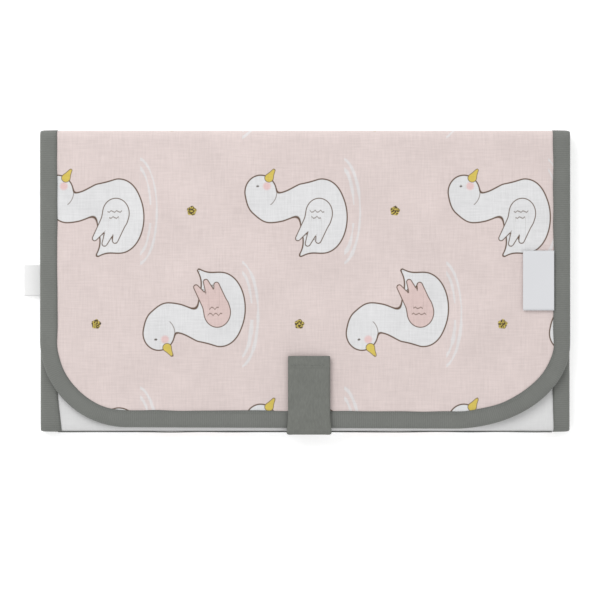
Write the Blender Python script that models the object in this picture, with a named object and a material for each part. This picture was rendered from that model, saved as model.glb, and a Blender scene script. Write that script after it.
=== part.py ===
"""A folding changing pad, closed: back panel, front third, printed flap, strap and labels.

Metres, +Z up. The pad lies on its back panel, with +Y towards the top fold. The origin is
the middle of the back panel's outer face, which rests on z = 0.
Each panel is a sandwich of outer cover, foam and liner inside a folded binding tape.
"""

import math

import bmesh
import bpy

# Driving dimensions
WIDTH = 0.350  # closed pad, across the folds
EDGE_Y = 0.0975  # panels end this far either side of the middle, at the folds
GAP = 0.0003  # between neighbouring pieces
CLOTH = 0.0006  # cover, liner and tape
FOAM = 0.0042
TAPE = 0.0114  # visible width of the binding tape
TAPE_WEB = 0.0009  # the tape's fold round the raw edge
SPINE = 0.0012  # unpadded cloth at a fold

PANEL = 2 * CLOTH + FOAM + 2 * GAP
BACK_Z = 0.0
FRONT_Z = BACK_Z + PANEL + GAP
FLAP_Z = FRONT_Z + PANEL + GAP
FLAP_TOP = FLAP_Z + PANEL

# The front third stops short of the top fold
FRONT_TOP_Y = 0.0915

# Fold axes of the flap, at the middles of the back panel and of the flap
FOLD_Y = 0.0985
LOW_FOLD_Z = BACK_Z + PANEL / 2
HIGH_FOLD_Z = FLAP_Z + PANEL / 2

# The flap's lower edge and its two corners, which are not quite alike
FLAP_LOW_LEFT = -0.0963
FLAP_LOW_RIGHT = -0.0978
LEFT_CORNER = (0.0575, 0.0575)
RIGHT_CORNER = (0.0775, 0.0570)
CORNER_STEPS = 14

# Closing strap
STRAP_X = 0.0026
STRAP_WIDTH = 0.0278
STRAP_THICK = 0.0012
STRAP_END_Y = -0.0493
STRAP_ROOT_Z = 0.0030
PATCH_THICK = 0.0005
PATCH_LENGTH = 0.0300
PATCH_MARGIN = 0.0025
HEM_LENGTH = 0.003  # the strap's free end goes on this far past the patches
PATCH_END_Y = STRAP_END_Y - HEM_LENGTH

# Labels
SIDE_LABEL_X = (0.1436, 0.1641)
SIDE_LABEL_Y = (-0.0194, 0.0201)
SIDE_LABEL_LEAF = 0.00035
CARE_LABEL_LENGTH = 0.0112
CARE_LABEL_Y = (-0.0098, 0.0109)
CARE_LABEL_THICK = 0.0004

SEAM_TAPE = 0.0005
SEAM_TAPE_Z = (0.0048, 0.0090)

HALF = WIDTH / 2
BOTTOM_SPINE_Y = -FOLD_Y
SEAM_TAPE_Y = BOTTOM_SPINE_Y - SPINE / 2 - GAP - SEAM_TAPE / 2
STRAP_ROOT_Y = SEAM_TAPE_Y - SEAM_TAPE / 2 - GAP - STRAP_THICK / 2
LOOP_Z = FLAP_TOP + GAP
HOOK_Z = LOOP_Z + PATCH_THICK + GAP
STRAP_Z = HOOK_Z + PATCH_THICK + GAP
STRAP_HINGE_Y = STRAP_ROOT_Y - STRAP_THICK / 2
SIDE_LABEL_Z = FLAP_TOP + GAP
SIDE_LABEL_THICK = 2 * SIDE_LABEL_LEAF + GAP

# Looks: a colour and a roughness
PRINTED = ((0.74, 0.64, 0.61, 1), 0.8)
WHITE = ((0.78, 0.78, 0.78, 1), 0.75)
LINER = ((0.80, 0.80, 0.80, 1), 0.6)
GREY = ((0.18, 0.19, 0.18, 1), 0.85)
DARK_GREY = ((0.15, 0.16, 0.15, 1), 0.85)
SOFT_FOAM = ((0.82, 0.80, 0.72, 1), 0.9)
LOOPS = ((0.20, 0.20, 0.20, 1), 0.95)
HOOKS = ((0.20, 0.20, 0.20, 1), 0.7)
SATIN = ((0.78, 0.78, 0.78, 1), 0.5)
CARE_CLOTH = ((0.78, 0.78, 0.78, 1), 0.6)


def clear_scene():
    for obj in list(bpy.data.objects):
        bpy.data.objects.remove(obj)


def empty(name, location):
    """A parent on a joint's axis."""
    obj = bpy.data.objects.new(name, None)
    obj.location = location
    bpy.context.scene.collection.objects.link(obj)
    return obj


def finish(name, mesh, look, parent=None, pivot=(0, 0, 0)):
    """Adds the mesh, given in world coordinates, as an object with its origin at pivot."""
    bm = bmesh.new()
    bm.from_mesh(mesh)
    bmesh.ops.recalc_face_normals(bm, faces=bm.faces)
    bmesh.ops.translate(bm, vec=[-c for c in pivot], verts=bm.verts)
    bm.to_mesh(mesh)
    bm.free()
    mat = bpy.data.materials.new(name + "_material")
    mat.use_nodes = True
    shader = mat.node_tree.nodes["Principled BSDF"]
    shader.inputs["Base Color"].default_value, shader.inputs["Roughness"].default_value = look
    shader.inputs["Metallic"].default_value = 0.0
    mesh.materials.append(mat)
    obj = bpy.data.objects.new(name, mesh)
    bpy.context.scene.collection.objects.link(obj)
    if parent is None:
        obj.location = pivot
    else:
        obj.parent = parent
        obj.location = [p - q for p, q in zip(pivot, parent.location)]
    return obj


def prism(name, outline, z, thick, look, **place):
    """A flat piece: the outline in X and Y, raised from z by thick."""
    mesh = bpy.data.meshes.new(name)
    bm = bmesh.new()
    face = bm.faces.new([bm.verts.new((x, y, z)) for x, y in outline])
    raised = bmesh.ops.extrude_face_region(bm, geom=[face])
    tops = [v for v in raised["geom"] if isinstance(v, bmesh.types.BMVert)]
    bmesh.ops.translate(bm, vec=(0, 0, thick), verts=tops)
    bm.to_mesh(mesh)
    bm.free()
    return finish(name, mesh, look, **place)


def block(name, x, y, z, look, **place):
    """A box from three (low, high) pairs."""
    outline = [(x[0], y[0]), (x[1], y[0]), (x[1], y[1]), (x[0], y[1])]
    return prism(name, outline, z[0], z[1] - z[0], look, **place)


def sweep(name, path, section, z, look, **place):
    """Carries a section along a path of (point, inward direction) pairs.

    The section lists (distance inward from the path, height above z).
    """
    mesh = bpy.data.meshes.new(name)
    bm = bmesh.new()
    rings = []
    for (x, y), (nx, ny) in path:
        rings.append([bm.verts.new((x + nx * d, y + ny * d, z + h)) for d, h in section])
    count = len(section)
    for low, high in zip(rings, rings[1:]):
        for i in range(count):
            j = (i + 1) % count
            bm.faces.new((low[i], low[j], high[j], high[i]))
    bm.faces.new(rings[0])
    bm.faces.new(list(reversed(rings[-1])))
    bm.to_mesh(mesh)
    bm.free()
    return finish(name, mesh, look, **place)


def tape_section():
    """The binding tape, a U open inwards, as high as the panel."""
    top = PANEL
    return [
        (0, 0),
        (0, top),
        (TAPE, top),
        (TAPE, top - CLOTH),
        (TAPE_WEB, top - CLOTH),
        (TAPE_WEB, CLOTH),
        (TAPE, CLOTH),
        (TAPE, 0),
    ]


def flap_path():
    """The flap's edge from top left, down and round to top right, with inward directions."""
    left_rx, left_ry = LEFT_CORNER
    right_rx, right_ry = RIGHT_CORNER
    slope = (FLAP_LOW_RIGHT - FLAP_LOW_LEFT) / WIDTH
    path = [((-HALF, EDGE_Y), (1, 0))]
    for i in range(CORNER_STEPS + 1):
        turn = math.pi / 2 * i / CORNER_STEPS
        x = -HALF + left_rx * (1 - math.cos(turn))
        y = FLAP_LOW_LEFT + left_ry * (1 - math.sin(turn)) + slope * (x + HALF)
        path.append(((x, y), inward(math.cos(turn) / left_rx, math.sin(turn) / left_ry)))
    for i in range(CORNER_STEPS + 1):
        turn = math.pi / 2 * i / CORNER_STEPS
        x = HALF - right_rx * (1 - math.sin(turn))
        y = FLAP_LOW_LEFT + right_ry * (1 - math.cos(turn)) + slope * (x + HALF)
        path.append(((x, y), inward(-math.sin(turn) / right_rx, math.cos(turn) / right_ry)))
    path.append(((HALF, EDGE_Y), (-1, 0)))
    return path


def inward(x, y):
    length = math.hypot(x, y)
    return x / length, y / length


def flap_outline(inset):
    """The flap's outline, moved inwards by inset on all its taped edges."""
    return [(x + nx * inset, y + ny * inset) for (x, y), (nx, ny) in flap_path()]


def sheet_outline(low_y, high_y, inset):
    side = HALF - inset
    return [(-side, low_y), (side, low_y), (side, high_y), (-side, high_y)]


def side_tape(name, side, low_y, high_y, z):
    """A straight binding tape on the left (side -1) or right (side 1) edge of a panel."""
    path = [((side * HALF, y), (-side, 0)) for y in (low_y, high_y)]
    sweep(name, path, tape_section(), z, GREY)


def back_panel():
    cover = sheet_outline(-EDGE_Y, EDGE_Y, TAPE + GAP)
    prism("back_cover", cover, BACK_Z, CLOTH, PRINTED)
    foam = sheet_outline(-EDGE_Y, EDGE_Y, TAPE_WEB + GAP)
    prism("back_foam", foam, BACK_Z + CLOTH + GAP, FOAM, SOFT_FOAM)
    prism("back_liner", cover, BACK_Z + PANEL - CLOTH, CLOTH, LINER)
    side_tape("back_tape_left", -1, -EDGE_Y, EDGE_Y, BACK_Z)
    side_tape("back_tape_right", 1, -EDGE_Y, EDGE_Y, BACK_Z)


def front_third():
    inner_top = FRONT_TOP_Y - TAPE - GAP
    cover = sheet_outline(-EDGE_Y, inner_top, TAPE + GAP)
    prism("front_cover", cover, FRONT_Z + PANEL - CLOTH, CLOTH, WHITE)
    foam = sheet_outline(-EDGE_Y, FRONT_TOP_Y - TAPE_WEB - GAP, TAPE_WEB + GAP)
    prism("front_foam", foam, FRONT_Z + CLOTH + GAP, FOAM, SOFT_FOAM)
    prism("front_liner", cover, FRONT_Z, CLOTH, LINER)
    side_tape("front_tape_left", -1, -EDGE_Y, FRONT_TOP_Y, FRONT_Z)
    side_tape("front_tape_right", 1, -EDGE_Y, FRONT_TOP_Y, FRONT_Z)
    inner_x = HALF - TAPE - GAP
    path = [((x, FRONT_TOP_Y), (0, -1)) for x in (-inner_x, inner_x)]
    sweep("front_tape_top", path, tape_section(), FRONT_Z, GREY)


def bottom_fold():
    spine = (BOTTOM_SPINE_Y - SPINE / 2, BOTTOM_SPINE_Y + SPINE / 2)
    across = (-HALF, HALF)
    block("bottom_spine", across, spine, (GAP, FRONT_Z + PANEL - GAP), WHITE)
    seam = (SEAM_TAPE_Y - SEAM_TAPE / 2, SEAM_TAPE_Y + SEAM_TAPE / 2)
    block("bottom_seam_tape", across, seam, SEAM_TAPE_Z, DARK_GREY)


def flap():
    """The printed flap on its fold: the spine turns about the low axis, the flap about the high one."""
    low_axis = empty("top_fold_axis", (0, FOLD_Y, LOW_FOLD_Z))
    high_axis = empty("flap_fold_axis", (0, FOLD_Y, HIGH_FOLD_Z))
    spine = (FOLD_Y - SPINE / 2, FOLD_Y + SPINE / 2)
    height = (LOW_FOLD_Z + GAP, HIGH_FOLD_Z - GAP)
    pivot = tuple(low_axis.location)
    block("top_spine", (-HALF, HALF), spine, height, PRINTED, parent=low_axis, pivot=pivot)
    place = {"parent": high_axis, "pivot": tuple(high_axis.location)}
    inner = flap_outline(TAPE + GAP)
    core = flap_outline(TAPE_WEB + GAP)
    prism("flap_liner", inner, FLAP_Z, CLOTH, LINER, **place)
    prism("flap_foam", core, FLAP_Z + CLOTH + GAP, FOAM, SOFT_FOAM, **place)
    prism("flap_cover", inner, FLAP_TOP - CLOTH, CLOTH, PRINTED, **place)
    sweep("flap_tape", flap_path(), tape_section(), FLAP_Z, GREY, **place)
    patch_y = (PATCH_END_Y - PATCH_LENGTH, PATCH_END_Y)
    patch_z = (LOOP_Z, LOOP_Z + PATCH_THICK)
    block("loop_patch", patch_x(), patch_y, patch_z, LOOPS, **place)


def patch_x():
    half = STRAP_WIDTH / 2 - PATCH_MARGIN
    return STRAP_X - half, STRAP_X + half


def strap():
    """The closing strap, sewn at the bottom fold, with the hook patch under its free end."""
    across = (STRAP_X - STRAP_WIDTH / 2, STRAP_X + STRAP_WIDTH / 2)
    root_y = (STRAP_ROOT_Y - STRAP_THICK / 2, STRAP_ROOT_Y + STRAP_THICK / 2)
    block("strap_root", across, root_y, (STRAP_ROOT_Z, STRAP_Z - GAP), GREY)
    axis = empty("strap_axis", (STRAP_X, STRAP_HINGE_Y, STRAP_Z))
    place = {"parent": axis, "pivot": tuple(axis.location)}
    along = (STRAP_HINGE_Y, STRAP_END_Y)
    height = (STRAP_Z, STRAP_Z + STRAP_THICK)
    block("closing_strap", across, along, height, GREY, **place)
    patch_y = (PATCH_END_Y - PATCH_LENGTH, PATCH_END_Y)
    patch_z = (HOOK_Z, HOOK_Z + PATCH_THICK)
    block("hook_patch", patch_x(), patch_y, patch_z, HOOKS, **place)


def labels():
    """A folded side label, sewn in at the flap's tape, and a care label at the back's tape."""
    free_x, sewn_x = SIDE_LABEL_X
    thick = SIDE_LABEL_THICK
    leaf = SIDE_LABEL_LEAF
    section = [
        (0, 0),
        (0, leaf),
        (sewn_x - free_x - leaf, leaf),
        (sewn_x - free_x - leaf, leaf + GAP),
        (0, leaf + GAP),
        (0, thick),
        (sewn_x - free_x, thick),
        (sewn_x - free_x, 0),
    ]
    path = [((sewn_x, y), (-1, 0)) for y in SIDE_LABEL_Y]
    axis = (sewn_x, 0, SIDE_LABEL_Z + thick)
    sweep("side_label", path, section, SIDE_LABEL_Z, SATIN, pivot=axis)
    sewn_x = -HALF - GAP
    middle = BACK_Z + PANEL / 2
    height = (middle - CARE_LABEL_THICK / 2, middle + CARE_LABEL_THICK / 2)
    across = (sewn_x - CARE_LABEL_LENGTH, sewn_x)
    axis = (sewn_x, 0, middle)
    block("care_label", across, CARE_LABEL_Y, height, CARE_CLOTH, pivot=axis)


clear_scene()
back_panel()
front_third()
bottom_fold()
flap()
strap()
labels()
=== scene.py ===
import math

import bmesh
import bpy
import numpy as np
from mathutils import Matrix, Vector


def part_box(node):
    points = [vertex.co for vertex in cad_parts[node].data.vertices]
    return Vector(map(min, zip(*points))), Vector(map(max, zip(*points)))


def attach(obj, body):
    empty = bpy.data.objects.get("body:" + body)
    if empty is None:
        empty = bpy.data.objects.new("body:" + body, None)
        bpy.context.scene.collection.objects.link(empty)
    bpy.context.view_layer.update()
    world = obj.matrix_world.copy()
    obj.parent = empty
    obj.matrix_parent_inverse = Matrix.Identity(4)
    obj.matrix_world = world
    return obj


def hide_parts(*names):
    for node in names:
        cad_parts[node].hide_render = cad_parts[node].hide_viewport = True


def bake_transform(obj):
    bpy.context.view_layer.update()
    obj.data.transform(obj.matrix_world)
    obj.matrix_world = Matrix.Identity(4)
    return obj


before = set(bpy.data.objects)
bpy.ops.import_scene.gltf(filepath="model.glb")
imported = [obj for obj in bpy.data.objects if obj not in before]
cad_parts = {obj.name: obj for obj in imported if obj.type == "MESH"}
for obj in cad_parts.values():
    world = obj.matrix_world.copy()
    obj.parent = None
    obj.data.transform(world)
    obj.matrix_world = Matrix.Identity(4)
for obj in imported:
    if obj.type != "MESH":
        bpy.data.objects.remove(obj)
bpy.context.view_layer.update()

# ---- sizes, in metres

MM = 0.001
BACK_LOW, BACK_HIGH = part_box("back_cover")[0][2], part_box("back_liner")[1][2]
FRONT_LOW, FRONT_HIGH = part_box("front_liner")[0][2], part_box("front_cover")[1][2]
FLAP_LOW, FLAP_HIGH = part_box("flap_liner")[0][2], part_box("flap_cover")[1][2]
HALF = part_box("flap_tape")[1][0]
FRONT_TOP_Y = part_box("front_tape_left")[1][1]
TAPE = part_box("back_tape_left")[1][0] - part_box("back_tape_left")[0][0]

# The folds are rounded noses that end FOLD_Y from the middle and start at NOSE_Y
FOLD_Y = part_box("top_spine")[1][1] + 0.7 * MM
NOSE_Y = FOLD_Y - 7.3 * MM
TOP_MIDDLE = (BACK_LOW + FLAP_HIGH) / 2
BOTTOM_MIDDLE = (BACK_LOW + FRONT_HIGH) / 2

# The flap's lower edge and its two corners
LOW_LEFT, LOW_RIGHT = -96.3 * MM, -97.8 * MM
LEFT_CORNER = (57.5 * MM, 57.5 * MM)
RIGHT_CORNER = (77.5 * MM, 57.0 * MM)

CLOTH = 0.45 * MM
SHEET_PITCH = 1.2 * MM
RIB_PITCH = 1.4 * MM
RING = RIB_PITCH / 4  # a tape's rings of points are this far apart
RIB_DEPTH = 0.07 * MM
UNDER_TAPE = 5 * MM  # how far in from the panel's edge the covers begin, under the tape
UNDER_NOSE = 0.35 * MM  # how far the covers lie inside the tape at a fold
EDGE_DROP = 0.50 * MM  # how far a puffed cover sinks at its edge
UNDER_FACE = 0.35 * MM  # how far the linings lie inside the tape
FOLD_SQUEEZE = 0.42  # a fold's thickness as a share of the panel's
PUFF_GRID, PUFF_FRAMES = (71, 41), 24  # the simulation of the puffed covers
STITCH = (2.0 * MM, 0.16 * MM)  # a stitch's length and its thread's radius

# The print repeats every PERIOD; its rows alternate and face opposite ways
PERIOD = (134.0, 151.0)
BIRD_ROWS = (((10.2, 43.1), 1, 0.0), ((-57.0, -19.0), -1, 1.0))  # middle, facing, pink wing
DOT_PLACES = ((-74.8, 46.3), (-3.8, -28.4))
FAR = 40.0  # a distance in mm that stands for "nowhere near"
LINE_FIELDS = ("p_ripple", "p_eddy", "p_feather")  # drawn as lines only, never filled

STAGE_SIZE = 3.0
FLOOR_GLOW, ROOM_LIGHT = 0.34, 0.74
CAMERA_HEIGHT = 2.5
VIEW_WIDTH = 395.6 * MM
VIEW_MIDDLE = (-3.4 * MM, -12.5 * MM)
SENSOR = 36.0


# ---- meshes


def new_object(name, points, faces, uvs=None, fields=None, smooth=True):
    """A mesh object; uvs are one per vertex, in metres, and fields are named vertex numbers."""
    mesh = bpy.data.meshes.new(name)
    faces = faces.tolist() if isinstance(faces, np.ndarray) else faces
    mesh.from_pydata(np.asarray(points, float).tolist(), [], faces)
    if uvs is not None:
        corners = np.empty(len(mesh.loops), np.int32)
        mesh.loops.foreach_get("vertex_index", corners)
        layer = mesh.uv_layers.new(name="cloth")
        layer.data.foreach_set("uv", np.asarray(uvs, np.float32)[corners].ravel())
    for field, values in (fields or {}).items():
        attribute = mesh.attributes.new(field, "FLOAT", "POINT")
        attribute.data.foreach_set("value", np.asarray(values, np.float32).ravel())
    if smooth:
        mesh.shade_smooth()
    obj = bpy.data.objects.new(name, mesh)
    bpy.context.scene.collection.objects.link(obj)
    return obj


def grid_faces(rows, columns, closed=False):
    """Quads between the points of a grid stored row by row; closed joins the last column to the first."""
    i = np.arange(rows - 1)[:, None]
    j = np.arange(columns if closed else columns - 1)[None, :]
    k = (j + 1) % columns
    quads = np.stack(np.broadcast_arrays(i * columns + j, i * columns + k,
                                         (i + 1) * columns + k, (i + 1) * columns + j), -1)
    return quads.reshape(-1, 4)


def thicken(obj, thickness):
    """Gives a sheet a second layer, on the side that its normals point away from."""
    obj.modifiers.new("thickness", "SOLIDIFY").thickness = thickness
    graph = bpy.context.evaluated_depsgraph_get()
    mesh = bpy.data.meshes.new_from_object(
        obj.evaluated_get(graph), preserve_all_data_layers=True, depsgraph=graph)
    obj.modifiers.clear()
    obj.data = mesh


def close_ends(obj, loops=()):
    """Adds the faces that loops of vertices close, and turns every face outwards."""
    bm = bmesh.new()
    bm.from_mesh(obj.data)
    bm.verts.ensure_lookup_table()
    for loop in loops:
        bm.faces.new([bm.verts[k] for k in loop])
    bmesh.ops.recalc_face_normals(bm, faces=bm.faces)
    for face in bm.faces:
        face.smooth = True
    bm.to_mesh(obj.data)
    bm.free()


def dress(obj, material):
    obj.data.materials.append(material)
    return obj


def swept(name, rings, uv, material):
    """A closed piece from rings of points, one ring after another along its length."""
    length, count = rings.shape[:2]
    obj = new_object(name, rings.reshape(-1, 3), grid_faces(length, count, closed=True),
                     uv.reshape(-1, 2))
    last = (length - 1) * count
    close_ends(obj, [list(range(count))[::-1], list(range(last, last + count))])
    return dress(obj, material)


def slab(name, gx, gy, high_z, low_z, material):
    """A closed piece between two heights over a grid."""
    rows, columns = gx.shape
    top = np.stack([gx, gy, high_z], -1).reshape(-1, 3)
    bottom = np.stack([gx, gy, low_z], -1).reshape(-1, 3)
    faces = grid_faces(rows, columns)
    rim = (list(range(columns)) + [r * columns + columns - 1 for r in range(1, rows)]
           + [(rows - 1) * columns + c for c in range(columns - 2, -1, -1)]
           + [r * columns for r in range(rows - 2, 0, -1)])
    count = len(top)
    walls = [(a, a + count, b + count, b) for a, b in zip(rim, rim[1:] + rim[:1])]
    obj = new_object(name, np.concatenate([top, bottom]),
                     np.concatenate([faces, faces[:, ::-1] + count, walls]),
                     np.concatenate([top[:, :2], bottom[:, :2]]))
    close_ends(obj)
    return dress(obj, material)


def every(path, x, y, z):
    """The same vector at each point of a path."""
    return np.broadcast_to(np.array([x, y, z], float), path.shape)


def lengths(points):
    """How far along a polyline each of its points is."""
    return np.r_[0, np.cumsum(np.linalg.norm(np.diff(points, axis=0), axis=1))]


def waves(x, y, seed, longest, shortest, count=14):
    """A smooth uneven surface between about -1 and 1, from seeded sine waves."""
    rng = np.random.default_rng(seed)
    total = np.zeros(np.broadcast(x, y).shape)
    for _ in range(count):
        length = rng.uniform(shortest, longest)
        angle = rng.uniform(0, 2 * math.pi)
        phase = rng.uniform(0, 2 * math.pi)
        total += np.sin((x * math.cos(angle) + y * math.sin(angle)) * 2 * math.pi / length + phase)
    return total / math.sqrt(2 * count)


# ---- the flap's outline


def flap_low_y(x):
    """The height in Y of the flap's lower edge at x."""
    edge = LOW_LEFT + (LOW_RIGHT - LOW_LEFT) * (x + HALF) / (2 * HALF)
    left = np.clip((-HALF + LEFT_CORNER[0] - x) / LEFT_CORNER[0], 0, 1)
    right = np.clip((x - HALF + RIGHT_CORNER[0]) / RIGHT_CORNER[0], 0, 1)
    return (edge + LEFT_CORNER[1] * (1 - np.sqrt(1 - left**2))
            + RIGHT_CORNER[1] * (1 - np.sqrt(1 - right**2)))


def flap_edge():
    """Points every RING along the flap's edge, left nose to right nose."""
    slope = (LOW_RIGHT - LOW_LEFT) / (2 * HALF)
    turn = np.linspace(0, math.pi / 2, 60)
    left = np.stack([-HALF + LEFT_CORNER[0] * (1 - np.cos(turn)),
                     LOW_LEFT + LEFT_CORNER[1] * (1 - np.sin(turn))], -1)
    right = np.stack([HALF - RIGHT_CORNER[0] * (1 - np.sin(turn)),
                      LOW_LEFT + RIGHT_CORNER[1] * (1 - np.cos(turn))], -1)
    corners = np.concatenate([left, right])
    corners[:, 1] += slope * (corners[:, 0] + HALF)
    return even(np.concatenate([[[-HALF, NOSE_Y]], corners, [[HALF, NOSE_Y]]]), RING)


def even(points, pitch):
    """The polyline's points moved to an even spacing near pitch."""
    steps = np.linalg.norm(np.diff(points, axis=0), axis=1)
    keep = np.r_[True, steps > 1e-7]
    points = points[keep]
    along = lengths(points)
    count = max(int(round(along[-1] / pitch)), 2)
    at = np.linspace(0, along[-1], count + 1)
    return np.stack([np.interp(at, along, points[:, k]) for k in range(points.shape[1])], -1)


def edge_distance(x, y, edge):
    """How far each point is from a polyline's points."""
    flat = np.stack([x.ravel(), y.ravel()], -1)
    least = np.full(len(flat), np.inf)
    for start in range(0, len(edge), 50):
        part = edge[start:start + 50]
        gap = np.linalg.norm(flat[:, None] - part[None], axis=2).min(1)
        least = np.minimum(least, gap)
    return least.reshape(x.shape)


# ---- profiles in Y and Z


def nose(outer_z, middle_z, side, inset=0.0, count=16):
    """A fold's rounded half, from the flat panel at NOSE_Y to the fold's middle.

    side is 1 for the top fold and -1 for the bottom one.
    """
    height = middle_z - outer_z
    radius_z = math.copysign(min(abs(height) * 0.78, 7 * MM), height)
    turn = np.linspace(0, math.pi / 2, count)
    y = NOSE_Y + (FOLD_Y - NOSE_Y - inset) * np.sin(turn)
    z = outer_z + radius_z * (1 - np.cos(turn))
    points = np.stack([y * side, z], -1)
    tail = np.array([[(FOLD_Y - inset) * side, middle_z]])
    return np.concatenate([points, tail])


def unit(vectors):
    return vectors / np.linalg.norm(vectors, axis=1, keepdims=True)


def normals(points):
    """Unit normals of a flat polyline, on the left of its run."""
    tangent = np.gradient(points, axis=0)
    return unit(np.stack([-tangent[:, 1], tangent[:, 0]], -1))


def with_normals(points, outward):
    """A profile, its normals on the side that outward is on at its start, and its lengths."""
    normal = normals(points)
    if normal[0] @ np.asarray(outward) < 0:
        normal = -normal
    return points, normal, lengths(points)


def outer_profile(outer_z, out, low_y, top_middle=None, bottom_middle=None, pitch=SHEET_PITCH,
                  inset=UNDER_NOSE):
    """A cover's run in Y and Z: the flat panel, with a nose at each end that has a fold."""
    runs = []
    if bottom_middle is not None:
        runs.append(nose(outer_z, bottom_middle, -1, inset)[::-1])
    high_y = NOSE_Y if top_middle is not None else FRONT_TOP_Y - UNDER_TAPE
    flat_y = np.linspace(low_y, high_y, 120)
    runs.append(np.stack([flat_y, np.full(120, outer_z)], -1))
    if top_middle is not None:
        runs.append(nose(outer_z, top_middle, 1, inset))
    points = even(np.concatenate(runs), pitch)
    found = with_normals(points, (0, 0))
    middle = len(points) // 2
    normal = found[1] if found[1][middle, 1] * out > 0 else -found[1]
    return points, normal, found[2]


def inner_profile(outer_z, middle_z, height, low_y):
    """A lining's run: flat along the panel's inner face, then inside the top fold's nose."""
    out = math.copysign(1, outer_z - middle_z)
    fold, normal, _ = with_normals(even(nose(outer_z, middle_z, 1), 0.3 * MM), (0, out))
    thin = FOLD_SQUEEZE + (1 - FOLD_SQUEEZE) * np.abs(normal[:, 1:]) ** 3
    inside = fold - normal * (height * thin - UNDER_FACE)
    flat_y = np.linspace(low_y, NOSE_Y, 100)[:-1]
    flat = np.stack([flat_y, np.full(99, outer_z - out * (height - UNDER_FACE))], -1)
    return with_normals(even(np.concatenate([flat, inside]), SHEET_PITCH), (0, -out))


# ---- cloth simulation


def puffed(name, x, y, pinned, seed):
    """The height that cloth pinned round its edge takes up when it is puffed from below.

    Returns heights scaled to about 0 to 1, on the coarse grid of x and y.
    """
    gx, gy = np.meshgrid(x, y)
    start = waves(gx, gy, seed, 110 * MM, 35 * MM) * 0.4 * MM
    points = np.stack([gx, gy, np.where(pinned, 0, start)], -1).reshape(-1, 3)
    obj = new_object(name, points, grid_faces(*gx.shape))
    group = obj.vertex_groups.new(name="edge")
    group.add(np.flatnonzero(pinned.ravel()).tolist(), 1.0, "REPLACE")
    cloth = obj.modifiers.new("cloth", "CLOTH")
    for setting, value in (
            ("quality", 6), ("mass", 0.15), ("tension_stiffness", 20),
            ("compression_stiffness", 20), ("shear_stiffness", 12), ("bending_stiffness", 0.35),
            ("air_damping", 3), ("vertex_group_mass", "edge"), ("shrink_min", -0.012),
            ("use_pressure", True), ("uniform_pressure_force", 1.2)):
        setattr(cloth.settings, setting, value)
    cloth.settings.effector_weights.gravity = 0.0
    cloth.collision_settings.use_collision = False
    scene = bpy.context.scene
    for step in range(1, PUFF_FRAMES + 1):
        scene.frame_set(step)
    graph = bpy.context.evaluated_depsgraph_get()
    mesh = obj.evaluated_get(graph).to_mesh()
    found = np.empty(len(mesh.vertices) * 3, np.float32)
    mesh.vertices.foreach_get("co", found)
    obj.evaluated_get(graph).to_mesh_clear()
    bpy.data.objects.remove(obj)
    scene.frame_set(1)
    height = found.reshape(*gx.shape, 3)[..., 2].astype(float)
    return np.clip(height / max(np.percentile(height, 98), 1e-6), -0.3, 1.25)


def sampled(values, x, y, at_x, at_y):
    """Values of a coarse grid read at other points, smoothly."""
    def weights(t):
        return (-0.5 * t + t**2 - 0.5 * t**3, 1 - 2.5 * t**2 + 1.5 * t**3,
                0.5 * t + 2 * t**2 - 1.5 * t**3, -0.5 * t**2 + 0.5 * t**3)

    fx = np.clip((at_x - x[0]) / (x[1] - x[0]), 0, len(x) - 1.001)
    fy = np.clip((at_y - y[0]) / (y[1] - y[0]), 0, len(y) - 1.001)
    ix, iy = fx.astype(int), fy.astype(int)
    total = 0.0
    for j, wy in enumerate(weights(fy - iy)):
        row = np.clip(iy + j - 1, 0, len(y) - 1)
        for i, wx in enumerate(weights(fx - ix)):
            total = total + wy * wx * values[row, np.clip(ix + i - 1, 0, len(x) - 1)]
    return total


# ---- the print


def capsule(f, u, a, b, r_a, r_b):
    """Signed distance in mm to a rod from a to b with a radius at each end."""
    af, au = f - a[0], u - a[1]
    bf, bu = b[0] - a[0], b[1] - a[1]
    t = np.clip((af * bf + au * bu) / (bf * bf + bu * bu), 0, 1)
    return np.hypot(af - bf * t, au - bu * t) - (r_a + (r_b - r_a) * t)


def oval(f, u, middle, radii):
    """Roughly the signed distance in mm to an ellipse."""
    a, b = (f - middle[0]) / radii[0], (u - middle[1]) / radii[1]
    k = np.hypot(a, b)
    slope = np.hypot(a / radii[0], b / radii[1])
    return np.where(slope > 1e-6, k * (k - 1) / np.maximum(slope, 1e-6), -min(radii))


def merged(a, b, soft):
    """The union of two shapes, rounded where they meet."""
    h = np.clip(0.5 + 0.5 * (b - a) / soft, 0, 1)
    return b * (1 - h) + a * h - soft * h * (1 - h)


def chain(f, u, stations, soft):
    """Rods through stations of (f, u, radius), rounded where they meet."""
    shape = None
    for a, b in zip(stations, stations[1:]):
        rod = capsule(f, u, a[:2], b[:2], a[2], b[2])
        shape = rod if shape is None else merged(shape, rod, soft)
    return shape


def part_line(distance, keep):
    """A line's signed distance, with the line rubbed out where keep is false."""
    return np.where(keep, distance, np.where(distance < 0, -FAR, FAR))


def nearest_line(lines):
    """Of several lines' signed distances, the one nearest to 0."""
    stack = np.stack(lines)
    return np.take_along_axis(stack, np.abs(stack).argmin(0)[None], 0)[0]


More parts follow.
